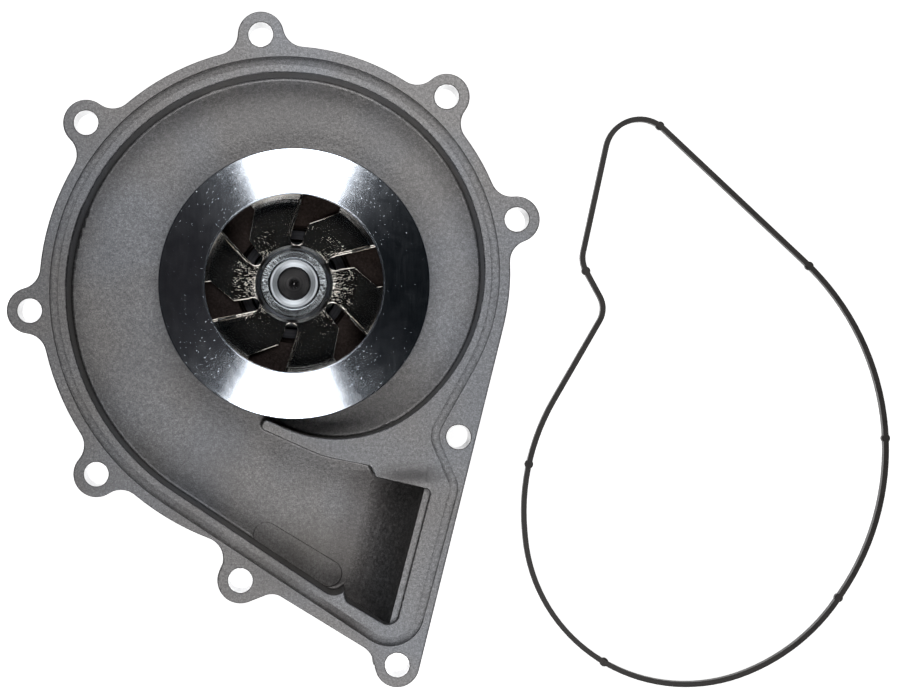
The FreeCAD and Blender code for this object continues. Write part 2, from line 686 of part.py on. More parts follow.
def weep_plug():
    """Vented cap pushed into the weep hole from outside."""
    axis = V(0, -1, 0)
    seat_radius = BOSS_RADIUS + 1.1
    stem = Part.makeCylinder(WEEP_HOLE_RADIUS, 7.0, V(0, -21.0, WEEP_HOLE_Z), axis)
    head = Part.makeCylinder(WEEP_PLUG_HEAD_RADIUS, 1.4, V(0, -27.0, WEEP_HOLE_Z), axis)
    head = head.makeFillet(0.5, [e for e in head.Edges if e.BoundBox.YMax < -28.0])
    vent = Part.makeCylinder(WEEP_PLUG_VENT_RADIUS, 12.0, V(0, -19.0, WEEP_HOLE_Z), axis)
    slot = Part.makeBox(9.0, 0.5, 0.9, V(-4.5, -28.5, WEEP_HOLE_Z - 0.45))
    seat = cylinder(0, 0, seat_radius, WEEP_HOLE_Z + 10, WEEP_HOLE_Z - 10)
    return joined([stem, head.cut(seat)]).cut([vent, slot])


save("weep_plug", weep_plug())


# ================================================================ impeller
def in_vane_frame(points, z):
    """Corners given along and across the vane fold line, at height z."""
    a = math.radians(VANE_ANGLE)
    return [
        (
            VANE_START[0] + u * math.cos(a) + w * math.sin(a),
            VANE_START[1] + u * math.sin(a) - w * math.cos(a),
            z,
        )
        for u, w in points
    ]


def shroud_inside_z(radius):
    """Height of the shroud's inner cone at a radius from the axis."""
    exit_z = DISC_TOP_Z + EXIT_WIDTH
    slope = (NECK_FOOT_Z - exit_z) / (IMPELLER_RADIUS - NECK_FOOT_RADIUS)
    return exit_z + slope * (IMPELLER_RADIUS - radius)


def vane_profile():
    """(along, height) outline of the upright vane, toe first."""
    def under_shroud(along, gap):
        radius = math.hypot(*in_vane_frame([(along, 0)], 0)[0][:2])
        return (along, shroud_inside_z(radius) - gap - DISC_TOP_Z)

    return [
        (0.0, 0.0), (0.0, VANE_TOE_HEIGHT), (VANE_TOE_LENGTH, VANE_TOE_HEIGHT + 0.5),
        (VANE_SHOULDER_LENGTH, EYE_LIP_Z - EYE_NECK - 0.1 - DISC_TOP_Z),
        under_shroud(VANE_SHOULDER_LENGTH + 3.6, 0.1),
        under_shroud(VANE_REACH, 0.3), (VANE_REACH, 0.0),
    ]


def vane():
    """Flap folded up square from the disc along its fold line."""
    a = math.radians(VANE_ANGLE)
    along = V(math.cos(a), math.sin(a), 0)
    start = V(VANE_START[0], VANE_START[1], DISC_TOP_Z - SHEET)
    lifted = [(u, h + SHEET if h > 0 else 0.0) for u, h in vane_profile()]
    corners = [start + along * u + UP * h for u, h in lifted]
    face = Part.Face(Part.makePolygon(corners + corners[:1]))
    flap = face.extrude(V(-math.sin(a), math.cos(a), 0) * VANE_SHEET)
    crest = [e for e in flap.Edges if e.BoundBox.ZMin > DISC_TOP_Z + 1 and e.Length > 2 * VANE_SHEET]
    return flap.makeFillet(SHEET_EDGE_RADIUS, crest)


def vane_window():
    """Opening the flap leaves in the disc, with round relief holes."""
    shape = [(u, h * 0.97) for u, h in vane_profile()]
    sheet = polygon(in_vane_frame(shape, DISC_TOP_Z + 1)).extrude(V(0, 0, -SHEET - 2))
    radius = VANE_TOE_HEIGHT / 2
    relief_x, relief_y, _ = in_vane_frame([(-0.6, radius + 0.1)], 0)[0]
    return sheet.fuse(cylinder(relief_x, relief_y, radius, DISC_TOP_Z + 1, DISC_TOP_Z - SHEET - 1))


disc = ring(8.2, IMPELLER_RADIUS, DISC_TOP_Z, DISC_TOP_Z - SHEET)
disc = disc.cut(spin_copies(vane_window(), VANE_COUNT))
window_edges = [
    e for e in disc.Edges
    if e.BoundBox.ZMin > DISC_TOP_Z - 0.01 and 8.3 < math.hypot(e.CenterOfMass.x, e.CenterOfMass.y)
]
disc = disc.makeFillet(SHEET_EDGE_RADIUS, window_edges)
save("impeller_disc", joined([disc] + spin_copies(vane(), VANE_COUNT)))


def impeller_shroud():
    """Cone of sheet metal, its inner edge turned down into a short round neck."""
    exit_z = DISC_TOP_Z + EXIT_WIDTH
    body = turned([
        (EYE_RADIUS, EYE_LIP_Z - EYE_NECK), (NECK_FOOT_RADIUS, NECK_FOOT_Z),
        (IMPELLER_RADIUS, exit_z), (IMPELLER_RADIUS, exit_z + SHEET), (EYE_RADIUS, EYE_LIP_Z),
    ])
    outer_edges = [
        e for e in body.Edges
        if e.BoundBox.ZMin > exit_z + SHEET - 0.01 and e.BoundBox.ZLength < 0.01
    ]
    return body.makeFillet(LIP_EDGE_RADIUS, outer_edges)


save("impeller_shroud", impeller_shroud())

save("impeller_hub", turned([
    (NOSE_RADIUS, HUB_TOP_Z - 0.7), (NOSE_RADIUS + 1.75, HUB_TOP_Z), (8.9, HUB_TOP_Z),
    (9.7, HUB_TOP_Z - 0.6), (9.9, HUB_TOP_Z - 2.8), (12.3, HUB_TOP_Z - 2.9),
    (12.7, HUB_TOP_Z - 3.5), (12.7, DISC_TOP_Z + 2.4), (13.7, DISC_TOP_Z + 1.6),
    (14.8, DISC_TOP_Z), (8.2, DISC_TOP_Z), (8.2, DISC_TOP_Z - 3.0), (NOSE_RADIUS, DISC_TOP_Z - 3.0),
]))


# ================================================================ pulley
def bolt_places():
    step = 360 / PULLEY_BOLT_COUNT
    return [polar(PULLEY_BOLT_CIRCLE, step * (i + 0.5)) for i in range(PULLEY_BOLT_COUNT)]


def pulley_hub():
    collar_radius = PULLEY_SPIGOT_RADIUS + 1.0
    collar_z = HUB_FLANGE_Z + 1.4
    spigot_z = WEB_FRONT_Z - WEB_THICKNESS - 0.6
    body = turned([
        (TAIL_RADIUS, collar_z), (collar_radius, collar_z), (collar_radius, HUB_FLANGE_Z),
        (HUB_FLANGE_RADIUS, HUB_FLANGE_Z), (HUB_FLANGE_RADIUS, WEB_FRONT_Z),
        (PULLEY_SPIGOT_RADIUS, WEB_FRONT_Z), (PULLEY_SPIGOT_RADIUS, spigot_z),
        (TAIL_RADIUS, spigot_z),
    ])
    holes = [
        cylinder(x, y, BOLT_RADIUS, HUB_FLANGE_Z + 1, WEB_FRONT_Z - 1)
        for x, y in bolt_places()
    ]
    return body.cut(holes)


save("pulley_hub", pulley_hub())


def belt_profile():
    """Rim outside, from the front edge to the rear edge."""
    bottom = FLOOR_Z
    top = PULLEY_FRONT_Z
    middle = (top + bottom) / 2
    first = middle + GROOVE_PITCH * BELT_RIBS / 2
    root = PULLEY_RADIUS - BELT_RIB_DEPTH
    lip = PULLEY_RADIUS + RIM_LIP
    points = [(lip, top - 0.6), (lip, first + 0.9), (PULLEY_RADIUS, first)]
    for i in range(BELT_RIBS):
        z = first - i * GROOVE_PITCH
        points += [
            (PULLEY_RADIUS, z - 0.35), (root, z - 1.45),
            (root, z - GROOVE_PITCH + 1.45), (PULLEY_RADIUS, z - GROOVE_PITCH + 0.35),
        ]
    last = first - BELT_RIBS * GROOVE_PITCH
    points += [
        (PULLEY_RADIUS, last), (lip, last - 0.9), (lip, bottom + 0.6),
        (lip - 0.6, bottom),
    ]
    return points


def pulley_rim():
    """Ribbed belt rim, open to the front and to the rear."""
    front = [(PULLEY_BORE_RADIUS, PULLEY_FRONT_Z), (PULLEY_RADIUS + RIM_LIP - 0.6, PULLEY_FRONT_Z)]
    return turned(front + belt_profile() + [(PULLEY_BORE_RADIUS, FLOOR_Z)])


def pulley_web():
    """Dished plate inside the rim, bolted to the hub flange."""
    web_rear = WEB_FRONT_Z - WEB_THICKNESS
    body = turned([
        (PULLEY_SPIGOT_RADIUS, WEB_FRONT_Z), (WEB_CONE_RADIUS, WEB_FRONT_Z),
        (PULLEY_BORE_RADIUS, WEB_RIM_TOP_Z), (PULLEY_BORE_RADIUS, WEB_RIM_BOTTOM_Z),
        (WEB_CONE_RADIUS + 1.2, web_rear), (PULLEY_SPIGOT_RADIUS, web_rear),
    ])
    bolt_holes = [
        cylinder(x, y, BOLT_CLEARANCE_RADIUS, WEB_FRONT_Z + 1, web_rear - 1)
        for x, y in bolt_places()
    ]
    window = cylinder(WEB_WINDOW_CIRCLE, 0, WEB_WINDOW_RADIUS, WEB_FRONT_Z + 1, web_rear - 1)
    return body.cut(bolt_holes + spin_copies(window, WEB_WINDOW_COUNT))


save("pulley_rim", pulley_rim())
save("pulley_web", pulley_web())


def bolt():
    """Socket-head screw at the first bolt position, head to the rear."""
    x, y = bolt_places()[0]
    seat = WEB_FRONT_Z - WEB_THICKNESS - WASHER_THICKNESS
    head_end = seat - BOLT_HEAD_HEIGHT
    shank = cylinder(x, y, BOLT_RADIUS, HUB_FLANGE_Z - 0.2, seat)
    head = cylinder(x, y, BOLT_HEAD_RADIUS, seat, head_end)
    socket = Part.Face(Part.makePolygon([
        V(*polar(SOCKET_RADIUS, 60 * i, (x, y)), head_end - 0.1) for i in range(7)
    ])).extrude(V(0, 0, SOCKET_DEPTH + 0.1))
    return shank.fuse(head.cut(socket)).removeSplitter()


save("pulley_bolts", Part.makeCompound(spin_copies(bolt(), PULLEY_BOLT_COUNT)))

washer = ring(BOLT_CLEARANCE_RADIUS, WASHER_RADIUS, 0, -WASHER_THICKNESS)
washer.translate(V(*bolt_places()[0], WEB_FRONT_Z - WEB_THICKNESS))
save("pulley_washers", Part.makeCompound(spin_copies(washer, PULLEY_BOLT_COUNT)))


# ================================================================ loose flange seal
def flange_seal():
    centre = flange_seal_outline()
    top = FLOOR_Z + CORD_HEIGHT
    outside = prism(offset(centre, CORD_WIDTH / 2), top, FLOOR_Z)
    body = outside.cut(prism(offset(centre, -CORD_WIDTH / 2), top + 1, FLOOR_Z - 1))
    path = outline(centre, FLOOR_Z)
    low = FLOOR_Z + (CORD_HEIGHT - NUB_HEIGHT) / 2
    along = path.discretize(Number=1001)
    spots = [along[round(1000 * share)] for share in NUB_SHARES]
    nubs = [cylinder(p.x, p.y, NUB_RADIUS, low + NUB_HEIGHT, low) for p in spots]
    return joined([body] + nubs)


save("flange_seal", flange_seal())
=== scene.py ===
import json
import math

import bpy
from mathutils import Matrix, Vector


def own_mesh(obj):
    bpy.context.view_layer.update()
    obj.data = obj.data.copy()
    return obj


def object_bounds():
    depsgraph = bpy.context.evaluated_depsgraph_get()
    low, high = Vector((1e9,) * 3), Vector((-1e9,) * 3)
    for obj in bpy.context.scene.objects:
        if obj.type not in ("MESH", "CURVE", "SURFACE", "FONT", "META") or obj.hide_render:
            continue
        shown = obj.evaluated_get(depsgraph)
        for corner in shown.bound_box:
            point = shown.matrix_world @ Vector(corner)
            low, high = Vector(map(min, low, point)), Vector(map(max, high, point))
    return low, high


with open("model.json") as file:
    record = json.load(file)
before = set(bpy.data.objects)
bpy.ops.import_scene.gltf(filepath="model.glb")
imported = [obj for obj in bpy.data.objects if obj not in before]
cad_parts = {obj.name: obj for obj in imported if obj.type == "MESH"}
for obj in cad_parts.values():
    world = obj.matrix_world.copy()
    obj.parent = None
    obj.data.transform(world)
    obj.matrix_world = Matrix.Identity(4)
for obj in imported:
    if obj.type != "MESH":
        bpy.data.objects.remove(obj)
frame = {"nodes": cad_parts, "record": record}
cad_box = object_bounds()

MM = 0.001
nodes = frame["nodes"]

# Places on the pump in mm, from the shaft axis and the joint face; the painted light gradient's two are
# in metres.
HOLE_RADIUS = 4.5
HOLE_WALL_SKIN = 0.12
HOLE_RIM_WIDTH = 0.42
HUB_CROWN_RADIUS = 9.8
HUB_SKIRT_RADII = (14.0, 16.0)
DRAWN_ZONE_RADII = (12.0, 22.0, 30.0)
INSIDE_END_Z = -23.5
SHADED_RADII = (39.6, 51.6)
LIGHT_GRADIENT_LEFT_AND_WIDTH = (-0.090, 0.160)
LIGHT_GRADIENT_FOOT_AND_HEIGHT = (-0.030, 0.100)
RAMP_HEADING = math.radians(75.44)
RAMP_CREST = (51.19, -78.26)
RAMP_DARKENING_START = -34.0
RAMP_DARKENING_RUN = 32.0
RAMP_TOP_EDGE = -2.6
RAMP_DEPTHS = (-1.2, -22.6)
RAMP_NORTH_EDGE = -71.0
DUCT_STAIN = (4.0, -102.0)
SCOOP_SHADE = (44.0, -71.6)

# The stage, in metres and degrees.
FLOOR_HALF = 3.0
FLOOR_GAP = 0.0002
FLOOR_GLOW = 0.78
SOFTBOX_ELEVATION = 57.5
SOFTBOX_DISTANCE = 1.1
SOFTBOX_SIZE = (0.62, 0.66)
SOFTBOX_POWER = 6.4
SOFTBOX_AZIMUTHS = {"softbox_top": 88.0, "softbox_bottom": 266.0}
CAMERA_PLACE = (0.00225, -0.02126, 1.0)
CAMERA_SHIFT = (0.1667, -0.0094)
CAMERA_SENSOR = 36.0
CAMERA_LENS = 106.7
NIGHT_COLOUR = (0.30, 0.66, 1.0, 1.0)
NIGHT_STRENGTH = 0.003


# ------------------------------------------------------------ node helpers
class Shader:
    """One material with small helpers for its node tree."""

    def __init__(self, name, **sockets):
        self.mat = bpy.data.materials.new(name)
        self.mat.use_nodes = True
        self.tree = self.mat.node_tree
        self.bsdf = self.tree.nodes["Principled BSDF"]
        self.coords = self.tree.nodes.new("ShaderNodeTexCoord").outputs["Object"]
        for key, value in sockets.items():
            self.bsdf.inputs[key.replace("_", " ")].default_value = value

    def link(self, a, b):
        self.tree.links.new(a, b)

    def node(self, kind, **settings):
        made = self.tree.nodes.new("ShaderNode" + kind)
        for key, value in settings.items():
            setattr(made, key, value)
        return made

    def stretched(self, scale):
        mapping = self.node("Mapping")
        mapping.inputs["Scale"].default_value = scale
        self.link(self.coords, mapping.inputs["Vector"])
        return mapping.outputs["Vector"]

    def noise(self, size_mm, detail=2.0, rough=0.5, distortion=0.0, vector=None):
        made = self.node("TexNoise")
        made.inputs["Scale"].default_value = 1000.0 / size_mm
        made.inputs["Detail"].default_value = detail
        made.inputs["Roughness"].default_value = rough
        made.inputs["Distortion"].default_value = distortion
        self.link(vector or self.coords, made.inputs["Vector"])
        return made.outputs["Fac"]

    def ramp(self, value, stops):
        """Colour (or grey) ramp; stops are (position, colour or number)."""
        made = self.node("ValToRGB")
        bar = made.color_ramp
        while len(bar.elements) < len(stops):
            bar.elements.new(0.5)
        for element, (where, colour) in zip(bar.elements, stops):
            element.position = where
            rgb = colour if isinstance(colour, tuple) else (colour,) * 3
            element.color = (*rgb, 1.0)
        self.link(value, made.inputs["Fac"])
        return made.outputs["Color"]

    def math(self, operation, a, b=0.0):
        made = self.node("Math", operation=operation)
        for i, x in enumerate((a, b)):
            if isinstance(x, (int, float)):
                made.inputs[i].default_value = x
            else:
                self.link(x, made.inputs[i])
        return made.outputs[0]

    def product(self, first, *others):
        """All the given values multiplied together."""
        for factor in others:
            first = self.math("MULTIPLY", first, factor)
        return first

    def weighted(self, a, a_share, b, b_share):
        """Sum of two values, each times its own share."""
        return self.math("ADD", self.product(a, a_share), self.product(b, b_share))

    def along(self, value, start, length):
        """0 where a stretch starts and 1 where it ends."""
        return self.math("DIVIDE", self.math("SUBTRACT", value, start), length)

    def mix(self, factor, a, b, blend="MIX"):
        made = self.node("Mix", data_type="RGBA", blend_type=blend)
        for i, x in ((0, factor), (6, a), (7, b)):
            if isinstance(x, (int, float)):
                made.inputs[i].default_value = x
            elif isinstance(x, tuple):
                made.inputs[i].default_value = (*x, 1.0)
            else:
                self.link(x, made.inputs[i])
        return made.outputs[2]

    def tinted(self, base, by):
        """Two colours multiplied together."""
        return self.mix(1.0, base, by, "MULTIPLY")

    def xyz(self):
        """Position in the frame, in metres, as three outputs."""
        split = self.node("SeparateXYZ")
        self.link(self.coords, split.inputs[0])
        return tuple(split.outputs)

    def radius_about(self, x_mm, y_mm, stretch=(1.0, 1.0)):
        """Distance in mm from a vertical line, in the frame."""
        x, y, _ = self.xyz()
        dx = self.math("MULTIPLY", self.math("SUBTRACT", x, x_mm * MM), 1000.0 * stretch[0])
        dy = self.math("MULTIPLY", self.math("SUBTRACT", y, y_mm * MM), 1000.0 * stretch[1])
        return self.math("SQRT", self.math("ADD", self.product(dx, dx), self.product(dy, dy)))

    def polar(self, spokes, rings_mm):
        """Noise coordinates that run round and out from the shaft axis without a seam."""
        x, y, _ = self.xyz()
        flat = self.node("CombineXYZ")
        self.link(x, flat.inputs[0])
        self.link(y, flat.inputs[1])
        unit = self.node("VectorMath", operation="NORMALIZE")
        self.link(flat.outputs[0], unit.inputs[0])
        turned = self.node("VectorMath", operation="SCALE")
        turned.inputs["Scale"].default_value = spokes / math.tau
        self.link(unit.outputs[0], turned.inputs[0])
        outward = self.node("CombineXYZ")
        self.link(self.math("DIVIDE", self.radius_about(0, 0), rings_mm), outward.inputs[2])
        total = self.node("VectorMath", operation="ADD")
        self.link(turned.outputs[0], total.inputs[0])
        self.link(outward.outputs[0], total.inputs[1])
        return total.outputs[0]

    def unit_noise(self, vector, detail):
        """Noise whose grain is one unit of the given vector."""
        made = self.node("TexNoise")
        made.inputs["Scale"].default_value = 1.0
        made.inputs["Detail"].default_value = detail
        self.link(vector, made.inputs["Vector"])
        return made.outputs["Fac"]

    def polar_noise(self, spokes, rings_mm, detail):
        return self.unit_noise(self.polar(spokes, rings_mm), detail)

    def crevice_shade(self, reach_mm, stops):
        """Painted shade: grey that darkens where other surfaces are close."""
        made = self.node("AmbientOcclusion", samples=6)
        made.inputs["Distance"].default_value = reach_mm * MM
        return self.ramp(made.outputs["AO"], stops)

    def colour(self, output):
        self.link(output, self.bsdf.inputs["Base Color"])

    def roughness(self, output):
        self.link(output, self.bsdf.inputs["Roughness"])

    def bump(self, layers):
        """Stacked bump layers, each (height output, depth in mm)."""
        normal = None
        for height, depth in layers:
            made = self.node("Bump")
            made.inputs["Strength"].default_value = 1.0
            made.inputs["Distance"].default_value = depth * MM
            self.link(height, made.inputs["Height"])
            if normal:
                self.link(normal, made.inputs["Normal"])
            normal = made.outputs["Normal"]
        self.link(normal, self.bsdf.inputs["Normal"])


def brushed(s, light, dark):
    """Turning marks: fine rings about the shaft axis."""
    ring_pitch_mm = 0.35
    rings_per_metre = 900.0
    wave = s.noise(6.0, 2.0)
    place = s.node("CombineXYZ")
    s.link(s.math("DIVIDE", s.radius_about(0, 0), ring_pitch_mm), place.inputs[0])
    s.link(s.math("MULTIPLY", s.xyz()[2], rings_per_metre), place.inputs[2])
    marks = s.unit_noise(place.outputs[0], 3.0)
    tone = s.weighted(marks, 0.7, wave, 0.3)
    return tone, s.ramp(tone, [(0.3, dark), (0.7, light)])


# ------------------------------------------------------------ cast metal
def bolt_holes():
    """Centres in mm of the round holes through the flange lugs."""
    for mount in frame["record"]["mounts"]:
        if mount["name"].startswith("bolt_hole"):
            yield mount["pos_m"][0] / MM, mount["pos_m"][1] / MM


def nearest_hole(s):
    """Distance in mm to the nearest bolt hole's centre line."""
    far_away_mm = 1000.0
    nearest = far_away_mm
    for x_mm, y_mm in bolt_holes():
        nearest = s.math("MINIMUM", s.radius_about(x_mm, y_mm), nearest)
    return nearest


def ramp_darkening(s):
    """Darkening part of the way up the outlet ramp, inside the housing only."""
    x, y, z = s.xyz()
    east = s.math("SUBTRACT", x, RAMP_CREST[0] * MM)
    north = s.math("SUBTRACT", y, RAMP_CREST[1] * MM)
    across = s.weighted(east, math.sin(RAMP_HEADING), north, -math.cos(RAMP_HEADING))
    across_mm = s.math("DIVIDE", across, MM)
    climb = s.along(across_mm, RAMP_DARKENING_START, RAMP_DARKENING_RUN)
    grown = s.ramp(climb, [(0.0, 0.0), (0.25, 0.38), (0.55, 0.52), (0.80, 0.12), (1.0, 0.0)])
    return s.product(
        s.math("LESS_THAN", across_mm, RAMP_TOP_EDGE),
        s.math("LESS_THAN", z, RAMP_DEPTHS[0] * MM),
        s.math("GREATER_THAN", z, RAMP_DEPTHS[1] * MM),
        s.math("LESS_THAN", y, RAMP_NORTH_EDGE * MM),
        grown,
    )


def painted_light_gradient(s):
    """Painted light and shade: darker to the left, paler to the right and to the top."""
    x, y, _ = s.xyz()
    across = s.along(x, *LIGHT_GRADIENT_LEFT_AND_WIDTH)
    up = s.along(y, *LIGHT_GRADIENT_FOOT_AND_HEIGHT)
    side = s.ramp(across, [(0.0, 0.80), (0.55, 1.0), (1.0, 1.12)])
    return s.tinted(side, s.ramp(up, [(0.35, 1.0), (1.0, 1.22)]))


def shade_under_disc(s):
    """Painted shade on the casting behind the impeller disc, darkest near the axis and left off the
    outside of the housing.
    """
    span = 60.0
    inner, outer = SHADED_RADII
    near_axis = s.ramp(s.math("DIVIDE", s.radius_about(0, 0), span), [
        (inner / span, (0.115, 0.088, 0.078)), (outer / span, (1.0, 1.0, 1.0)),
    ])
    outside = s.math("LESS_THAN", s.xyz()[2], INSIDE_END_Z * MM)
    return s.mix(outside, near_axis, (1.0, 1.0, 1.0))


def stain_and_shade(s, centre, stretch, reach_mm, wander_mm, strength):
    """Soft-edged darker patch with a wandering outline; used for a real brownish smudge in the duct and
    for painted shade over the scoop.
    """
    reach = s.radius_about(*centre, stretch)
    edge = s.math("ADD", reach, s.math("MULTIPLY", s.noise(9.0, 4.0, 0.7), wander_mm))
    scaled = s.math("DIVIDE", edge, 2.0 * reach_mm)
    return s.ramp(scaled, [(0.35, strength), (1.0, 0.0)])


def cast_tone(s, tone):
    """Colour of the cast skin: grain, pale clouds and a slow brown to blue drift."""
    base = s.ramp(tone, [
        (0.30, (0.098, 0.098, 0.100)), (0.50, (0.224, 0.224, 0.228)), (0.70, (0.435, 0.435, 0.440)),
    ])
    cloud = s.ramp(s.noise(34.0, 4.0, 0.6, 0.6), [(0.35, 0.0), (0.75, 0.30)])
    base = s.mix(cloud, base, (0.155, 0.155, 0.162))
    drift = s.ramp(s.noise(52.0, 2.0, 0.5), [(0.40, (0.96, 0.935, 0.915)), (0.62, (0.96, 0.985, 1.03))])
    return s.tinted(base, drift)


def cast_aluminium():
    s = Shader("cast_aluminium", Metallic=1.0)
    grain = s.noise(0.55, 3.0, 0.75)
    grit = s.noise(1.2, 2.0, 0.6)
    base = cast_tone(s, s.weighted(grain, 0.60, grit, 0.40))
    # Painted shade in crevices, a painted light gradient across the face, and painted shade behind the
    # impeller disc.
    for shade in (s.crevice_shade(3.0, [(0.15, 0.36), (0.58, 1.0)]), painted_light_gradient(s), shade_under_disc(s)):
        base = s.tinted(base, shade)
    # Brownish darkening part of the way up the outlet ramp.
    base = s.mix(ramp_darkening(s), base, (0.050, 0.042, 0.040))
    # Real brownish smudge on the pad by the lower duct wall.
    base = s.mix(stain_and_shade(s, DUCT_STAIN, (1.0, 1.5), 17.0, 14.0, 0.42), base, (0.100, 0.090, 0.077))
    # Painted shade in the shallow scoop above the window's top edge.
    base = s.mix(stain_and_shade(s, SCOOP_SHADE, (1.0, 3.0), 9.0, 5.0, 0.80), base, (0.095, 0.093, 0.095))
    hole = nearest_hole(s)
    rim = s.math("LESS_THAN", hole, HOLE_RADIUS + HOLE_RIM_WIDTH)
    base = s.mix(rim, base, (0.070, 0.068, 0.068))
    walls = s.math("LESS_THAN", hole, HOLE_RADIUS + HOLE_WALL_SKIN)
    s.colour(s.mix(walls, base, (0.90, 0.90, 0.91)))
    s.roughness(s.mix(walls, s.ramp(grit, [(0.3, 0.46), (0.7, 0.58)]), (0.30, 0.30, 0.30)))
    s.bump([(grit, 0.12), (grain, 0.07)])
    return s.mat


# ------------------------------------------------------------ plated and turned metal
def zinc_plate(name, light, dark, rough, dimple_mm, nick_mm):
    """Bright zinc plating on pressed sheet, slightly mottled, with nicks."""
    s = Shader(name, Metallic=1.0)
    mottle = s.noise(7.0, 3.0, 0.6, 0.8)
    fine = s.noise(0.5, 2.0, 0.6)
    scratch = s.noise(0.45, 2.0, 0.7, 0.0, s.stretched((1.0, 0.05, 0.3)))
    nicks = s.ramp(s.noise(0.7, 1.0, 0.4), [(0.72, 0.0), (0.78, 1.0)])
    tone = s.weighted(mottle, 0.6, fine, 0.4)
    s.colour(s.ramp(tone, [(0.3, dark), (0.7, light)]))
    haze = s.weighted(scratch, 0.5, mottle, 0.5)
    s.roughness(s.ramp(haze, [(0.3, rough), (0.75, rough + 0.08)]))
    s.bump([(mottle, dimple_mm), (fine, 0.004), (nicks, nick_mm)])
    return s.mat


def press_wrinkles(s, inner_mm, fade_mm, outer_mm):
    """Fine radial wrinkles of drawn sheet, breaking up into specks further out."""
    span = 40.0
    step = 0.004
    inner, fade, outer = inner_mm / span, fade_mm / span, outer_mm / span
    lines = s.polar_noise(330.0, 3.0, 2.0)
    specks = s.polar_noise(270.0, 1.5, 2.0)
    radius = s.math("DIVIDE", s.radius_about(0, 0), span)
    broken = s.ramp(radius, [((inner_mm + 2.0) / span, 0.25), (fade, 0.80)])
    zone = s.ramp(radius, [(inner - step, 0.0), (inner, 1.0), (fade, 1.0), (outer, 0.0)])
    return s.tinted(s.mix(broken, lines, specks), zone)


def pressed_disc():
    """Plated disc; the drawn zone round the hub keeps radial press wrinkles."""
    s = Shader("disc_zinc", Metallic=1.0)
    mottle = s.noise(2.6, 3.0, 0.6, 0.6)
    fine = s.noise(0.5, 2.0, 0.6)
    arcs = s.polar_noise(5.0, 0.7, 3.0)
    wrinkles = press_wrinkles(s, *DRAWN_ZONE_RADII)
    s.colour(s.ramp(mottle, [(0.3, (0.40, 0.37, 0.33)), (0.7, (0.64, 0.61, 0.57))]))
    s.roughness(s.ramp(fine, [(0.3, 0.08), (0.75, 0.15)]))
    s.bump([(wrinkles, 0.108), (arcs, 0.04), (mottle, 0.008), (fine, 0.004)])
    return s.mat


def hub_steel():
    """Turned crown, hazier than the pressed collar round it."""
    s = Shader("hub_steel", Metallic=1.0)
    tone, base = brushed(s, (0.62, 0.66, 0.70), (0.34, 0.36, 0.38))
    s.colour(base)
    span = 20.0
    radius = s.math("DIVIDE", s.radius_about(0, 0), span)
    haze = s.ramp(radius, [(0.44, 0.42), (0.47, 0.12), (0.70, 0.16)])
    s.roughness(s.math("ADD", haze, s.math("MULTIPLY", tone, 0.12)))
    s.bump([(press_wrinkles(s, HUB_CROWN_RADIUS, *HUB_SKIRT_RADII), 0.070), (tone, 0.014)])
    return s.mat


def turned_steel(name, light, dark, rough):
    s = Shader(name, Metallic=1.0)
    tone, base = brushed(s, light, dark)
    s.colour(base)
    s.roughness(s.ramp(tone, [(0.3, rough), (0.7, rough + 0.12)]))
    s.bump([(tone, 0.012)])
    return s.mat


# ------------------------------------------------------------ rubber, paint and ceramic
def rubber(name, dark, light, rough):
    s = Shader(name, Metallic=0.0, IOR=1.5)
    film = s.noise(7.0, 4.0, 0.7)
    fine = s.noise(0.5, 2.0, 0.6)
    s.colour(s.ramp(s.weighted(film, 0.6, fine, 0.4), [(0.35, dark), (0.75, light)]))
    s.roughness(s.ramp(film, [(0.3, rough), (0.7, rough + 0.2)]))
    s.bump([(film, 0.03), (fine, 0.02)])
    return s.mat


def satin_paint(name, dark, light):
    s = Shader(name, Metallic=0.0, IOR=1.5, Coat_Weight=0.25, Coat_Roughness=0.3)
    peel = s.noise(1.6, 2.0, 0.5)
    dust = s.noise(18.0, 5.0, 0.7)
    s.colour(s.ramp(dust, [(0.4, dark), (0.8, light)]))
    s.roughness(s.ramp(dust, [(0.3, 0.34), (0.8, 0.55)]))
    s.bump([(peel, 0.02)])
    return s.mat


def ceramic(name, dark, light, rough):
    s = Shader(name, Metallic=0.0, IOR=1.6)
    fine = s.noise(0.4, 3.0, 0.6)
    s.colour(s.ramp(fine, [(0.3, dark), (0.7, light)]))
    s.roughness(s.ramp(fine, [(0.3, rough), (0.7, rough + 0.15)]))
    s.bump([(fine, 0.004)])
    return s.mat


CAST = cast_aluminium()
SHROUD_ZINC = zinc_plate("shroud_zinc", (0.80, 0.85, 0.92), (0.66, 0.72, 0.82), 0.145, 0.002, 0.022)
DISC_ZINC = pressed_disc()
BOLT_ZINC = zinc_plate("bolt_zinc", (0.70, 0.72, 0.74), (0.46, 0.48, 0.50), 0.24, 0.01, 0.02)
SPRING_ZINC = zinc_plate("spring_zinc", (0.58, 0.58, 0.58), (0.38, 0.38, 0.39), 0.28, 0.004, 0.0)
HUB_STEEL = hub_steel()
SHAFT_STEEL = turned_steel("shaft_steel", (0.26, 0.25, 0.25), (0.07, 0.07, 0.075), 0.16)
BEARING_STEEL = turned_steel("bearing_steel", (0.66, 0.66, 0.67), (0.42, 0.42, 0.44), 0.14)
CASE_STEEL = turned_steel("case_steel", (0.55, 0.56, 0.57), (0.32, 0.33, 0.34), 0.26)
